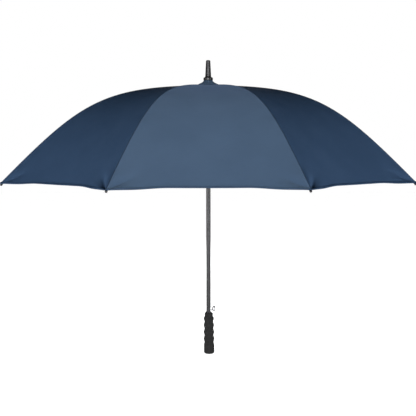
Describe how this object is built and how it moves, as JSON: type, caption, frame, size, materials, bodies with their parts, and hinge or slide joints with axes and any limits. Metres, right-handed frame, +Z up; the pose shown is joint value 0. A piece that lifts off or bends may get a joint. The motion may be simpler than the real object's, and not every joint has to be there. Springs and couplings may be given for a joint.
{
  "type": "golf umbrella",
  "caption": "Large straight umbrella with a domed navy canopy on folding ribs, a tubular shaft, a foam grip with finger waves and a push button.",
  "frame": {"origin": "centre of the flat bottom of the grip", "axes": "+Z runs up the shaft to the ferrule, +X is the side of the push button, and one canopy panel faces -Y"},
  "size_m": [1.2024, 1.2024, 0.946],
  "materials": {
    "black_tube": "satin",
    "black_plastic": "gloss",
    "wire_steel": "satin",
    "navy_cloth": "matte",
    "grip_foam": "matte",
    "core_plastic": "matte",
    "button_grey": "satin",
    "rib_fibre": "satin",
    "arm_steel": "satin"
  },
  "bodies": {
    "stick": {"shaft": "black_tube", "ferrule": "black_plastic", "crown": "black_plastic", "crown_wire": "wire_steel", "rosette": "navy_cloth", "grip": "grip_foam", "grip_core": "core_plastic", "opening_spring": "wire_steel"},
    "button": {"button": "button_grey"},
    "runner": {"runner": "black_plastic", "runner_wire": "wire_steel", "plunger": "wire_steel"},
    "inner_rib_1": {"rib_inner_1": "rib_fibre", "canopy_inner_1": "navy_cloth"},
    "outer_rib_1": {"rib_outer_1": "rib_fibre", "tip_1": "black_plastic", "canopy_outer_1": "navy_cloth"},
    "arm_1": {"stretcher_1": "arm_steel"},
    "inner_rib_2": {"rib_inner_2": "rib_fibre", "canopy_inner_2": "navy_cloth"},
    "outer_rib_2": {"rib_outer_2": "rib_fibre", "tip_2": "black_plastic", "canopy_outer_2": "navy_cloth"},
    "arm_2": {"stretcher_2": "arm_steel"},
    "inner_rib_3": {"rib_inner_3": "rib_fibre", "canopy_inner_3": "navy_cloth"},
    "outer_rib_3": {"rib_outer_3": "rib_fibre", "tip_3": "black_plastic", "canopy_outer_3": "navy_cloth"},
    "arm_3": {"stretcher_3": "arm_steel"},
    "inner_rib_4": {"rib_inner_4": "rib_fibre", "canopy_inner_4": "navy_cloth"},
    "outer_rib_4": {"rib_outer_4": "rib_fibre", "tip_4": "black_plastic", "canopy_outer_4": "navy_cloth"},
    "arm_4": {"stretcher_4": "arm_steel"},
    "inner_rib_5": {"rib_inner_5": "rib_fibre", "canopy_inner_5": "navy_cloth"},
    "outer_rib_5": {"rib_outer_5": "rib_fibre", "tip_5": "black_plastic", "canopy_outer_5": "navy_cloth"},
    "arm_5": {"stretcher_5": "arm_steel"},
    "inner_rib_6": {"rib_inner_6": "rib_fibre", "canopy_inner_6": "navy_cloth"},
    "outer_rib_6": {"rib_outer_6": "rib_fibre", "tip_6": "black_plastic", "canopy_outer_6": "navy_cloth"},
    "arm_6": {"stretcher_6": "arm_steel"},
    "inner_rib_7": {"rib_inner_7": "rib_fibre", "canopy_inner_7": "navy_cloth"},
    "outer_rib_7": {"rib_outer_7": "rib_fibre", "tip_7": "black_plastic", "canopy_outer_7": "navy_cloth"},
    "arm_7": {"stretcher_7": "arm_steel"},
    "inner_rib_8": {"rib_inner_8": "rib_fibre", "canopy_inner_8": "navy_cloth"},
    "outer_rib_8": {"rib_outer_8": "rib_fibre", "tip_8": "black_plastic", "canopy_outer_8": "navy_cloth"},
    "arm_8": {"stretcher_8": "arm_steel"}
  },
  "joints": [
    {"name": "fold_1", "type": "hinge", "parent": "stick", "child": "inner_rib_1", "pos_m": [0.00536, -0.01293, 0.863], "axis": [0.9239, 0.3827, 0], "range_deg": [0, 78], "stiffness_Nm_per_rad": 4, "springref_deg": -28.65, "deforming": ["canopy_inner_1", "opening_spring"]},
    {"name": "knuckle_1", "type": "hinge", "parent": "inner_rib_1", "child": "outer_rib_1", "pos_m": [0.12938, -0.31235, 0.81015], "axis": [0.9239, 0.3827, 0], "range_deg": [-30.1, 0], "deforming": ["canopy_outer_1"]},
    {"name": "stretcher_pin_1", "type": "hinge", "parent": "inner_rib_1", "child": "arm_1", "pos_m": [0.12776, -0.30844, 0.8], "axis": [0.9239, 0.3827, 0], "range_deg": [-156.1, 0]},
    {"name": "fold_2", "type": "hinge", "parent": "stick", "child": "inner_rib_2", "pos_m": [0.01293, -0.00536, 0.863], "axis": [0.3827, 0.9239, 0], "range_deg": [0, 78.1], "deforming": ["canopy_inner_2"]},
    {"name": "knuckle_2", "type": "hinge", "parent": "inner_rib_2", "child": "outer_rib_2", "pos_m": [0.31235, -0.12938, 0.81015], "axis": [0.3827, 0.9239, 0], "range_deg": [-30.1, 0], "deforming": ["canopy_outer_2"]},
    {"name": "stretcher_pin_2", "type": "hinge", "parent": "inner_rib_2", "child": "arm_2", "pos_m": [0.30844, -0.12776, 0.8], "axis": [0.3827, 0.9239, 0], "range_deg": [-156.1, 0]},
    {"name": "fold_3", "type": "hinge", "parent": "stick", "child": "inner_rib_3", "pos_m": [0.01293, 0.00536, 0.863], "axis": [-0.3827, 0.9239, 0], "range_deg": [0, 78.1], "deforming": ["canopy_inner_3"]},
    {"name": "knuckle_3", "type": "hinge", "parent": "inner_rib_3", "child": "outer_rib_3", "pos_m": [0.31235, 0.12938, 0.81015], "axis": [-0.3827, 0.9239, 0], "range_deg": [-30.1, 0], "deforming": ["canopy_outer_3"]},
    {"name": "stretcher_pin_3", "type": "hinge", "parent": "inner_rib_3", "child": "arm_3", "pos_m": [0.30844, 0.12776, 0.8], "axis": [-0.3827, 0.9239, 0], "range_deg": [-156.1, 0]},
    {"name": "fold_4", "type": "hinge", "parent": "stick", "child": "inner_rib_4", "pos_m": [0.00536, 0.01293, 0.863], "axis": [-0.9239, 0.3827, 0], "range_deg": [0, 78.1], "deforming": ["canopy_inner_4"]},
    {"name": "knuckle_4", "type": "hinge", "parent": "inner_rib_4", "child": "outer_rib_4", "pos_m": [0.12938, 0.31235, 0.81015], "axis": [-0.9239, 0.3827, 0], "range_deg": [-30.1, 0], "deforming": ["canopy_outer_4"]},
    {"name": "stretcher_pin_4", "type": "hinge", "parent": "inner_rib_4", "child": "arm_4", "pos_m": [0.12776, 0.30844, 0.8], "axis": [-0.9239, 0.3827, 0], "range_deg": [-156.1, 0]},
    {"name": "fold_5", "type": "hinge", "parent": "stick", "child": "inner_rib_5", "pos_m": [-0.00536, 0.01293, 0.863], "axis": [-0.9239, -0.3827, 0], "range_deg": [0, 78.1], "deforming": ["canopy_inner_5"]},
    {"name": "knuckle_5", "type": "hinge", "parent": "inner_rib_5", "child": "outer_rib_5", "pos_m": [-0.12938, 0.31235, 0.81015], "axis": [-0.9239, -0.3827, 0], "range_deg": [-30.1, 0], "deforming": ["canopy_outer_5"]},
    {"name": "stretcher_pin_5", "type": "hinge", "parent": "inner_rib_5", "child": "arm_5", "pos_m": [-0.12776, 0.30844, 0.8], "axis": [-0.9239, -0.3827, 0], "range_deg": [-156.1, 0]},
    {"name": "fold_6", "type": "hinge", "parent": "stick", "child": "inner_rib_6", "pos_m": [-0.01293, 0.00536, 0.863], "axis": [-0.3827, -0.9239, 0], "range_deg": [0, 78.1], "deforming": ["canopy_inner_6"]},
    {"name": "knuckle_6", "type": "hinge", "parent": "inner_rib_6", "child": "outer_rib_6", "pos_m": [-0.31235, 0.12938, 0.81015], "axis": [-0.3827, -0.9239, 0], "range_deg": [-30.1, 0], "deforming": ["canopy_outer_6"]},
    {"name": "stretcher_pin_6", "type": "hinge", "parent": "inner_rib_6", "child": "arm_6", "pos_m": [-0.30844, 0.12776, 0.8], "axis": [-0.3827, -0.9239, 0], "range_deg": [-156.1, 0]},
    {"name": "fold_7", "type": "hinge", "parent": "stick", "child": "inner_rib_7", "pos_m": [-0.01293, -0.00536, 0.863], "axis": [0.3827, -0.9239, 0], "range_deg": [0, 78.1], "deforming": ["canopy_inner_7"]},
    {"name": "knuckle_7", "type": "hinge", "parent": "inner_rib_7", "child": "outer_rib_7", "pos_m": [-0.31235, -0.12938, 0.81015], "axis": [0.3827, -0.9239, 0], "range_deg": [-30.1, 0], "deforming": ["canopy_outer_7"]},
    {"name": "stretcher_pin_7", "type": "hinge", "parent": "inner_rib_7", "child": "arm_7", "pos_m": [-0.30844, -0.12776, 0.8], "axis": [0.3827, -0.9239, 0], "range_deg": [-156.1, 0]},
    {"name": "fold_8", "type": "hinge", "parent": "stick", "child": "inner_rib_8", "pos_m": [-0.00536, -0.01293, 0.863], "axis": [0.9239, -0.3827, 0], "range_deg": [0, 78.1], "deforming": ["canopy_inner_8"]},
    {"name": "knuckle_8", "type": "hinge", "parent": "inner_rib_8", "child": "outer_rib_8", "pos_m": [-0.12938, -0.31235, 0.81015], "axis": [0.9239, -0.3827, 0], "range_deg": [-30.1, 0], "deforming": ["canopy_outer_8"]},
    {"name": "stretcher_pin_8", "type": "hinge", "parent": "inner_rib_8", "child": "arm_8", "pos_m": [-0.12776, -0.30844, 0.8], "axis": [0.9239, -0.3827, 0], "range_deg": [-156.1, 0]},
    {"name": "runner_pin", "type": "hinge", "parent": "arm_1", "child": "runner", "pos_m": [0.00536, -0.01293, 0.73699], "axis": [0.9239, 0.3827, 0], "range_deg": [0, 78.1]},
    {"name": "button_press", "type": "slide", "parent": "stick", "child": "button", "axis": [-1, 0, 0], "range_m": [0, 0.002], "stiffness_N_per_m": 600, "springref_m": -0.001}
  ],
  "couplings": [
    {"joint": "knuckle_1", "follows": "fold_1", "ratio": -0.38461},
    {"joint": "stretcher_pin_1", "follows": "fold_1", "ratio": -2},
    {"joint": "fold_2", "follows": "fold_1", "ratio": 1},
    {"joint": "knuckle_2", "follows": "fold_1", "ratio": -0.38461},
    {"joint": "stretcher_pin_2", "follows": "fold_1", "ratio": -2},
    {"joint": "fold_3", "follows": "fold_1", "ratio": 1},
    {"joint": "knuckle_3", "follows": "fold_1", "ratio": -0.38461},
    {"joint": "stretcher_pin_3", "follows": "fold_1", "ratio": -2},
    {"joint": "fold_4", "follows": "fold_1", "ratio": 1},
    {"joint": "knuckle_4", "follows": "fold_1", "ratio": -0.38461},
    {"joint": "stretcher_pin_4", "follows": "fold_1", "ratio": -2},
    {"joint": "fold_5", "follows": "fold_1", "ratio": 1},
    {"joint": "knuckle_5", "follows": "fold_1", "ratio": -0.38461},
    {"joint": "stretcher_pin_5", "follows": "fold_1", "ratio": -2},
    {"joint": "fold_6", "follows": "fold_1", "ratio": 1},
    {"joint": "knuckle_6", "follows": "fold_1", "ratio": -0.38461},
    {"joint": "stretcher_pin_6", "follows": "fold_1", "ratio": -2},
    {"joint": "fold_7", "follows": "fold_1", "ratio": 1},
    {"joint": "knuckle_7", "follows": "fold_1", "ratio": -0.38461},
    {"joint": "stretcher_pin_7", "follows": "fold_1", "ratio": -2},
    {"joint": "fold_8", "follows": "fold_1", "ratio": 1},
    {"joint": "knuckle_8", "follows": "fold_1", "ratio": -0.38461},
    {"joint": "stretcher_pin_8", "follows": "fold_1", "ratio": -2},
    {"joint": "runner_pin", "follows": "fold_1", "ratio": 1}
  ]
}
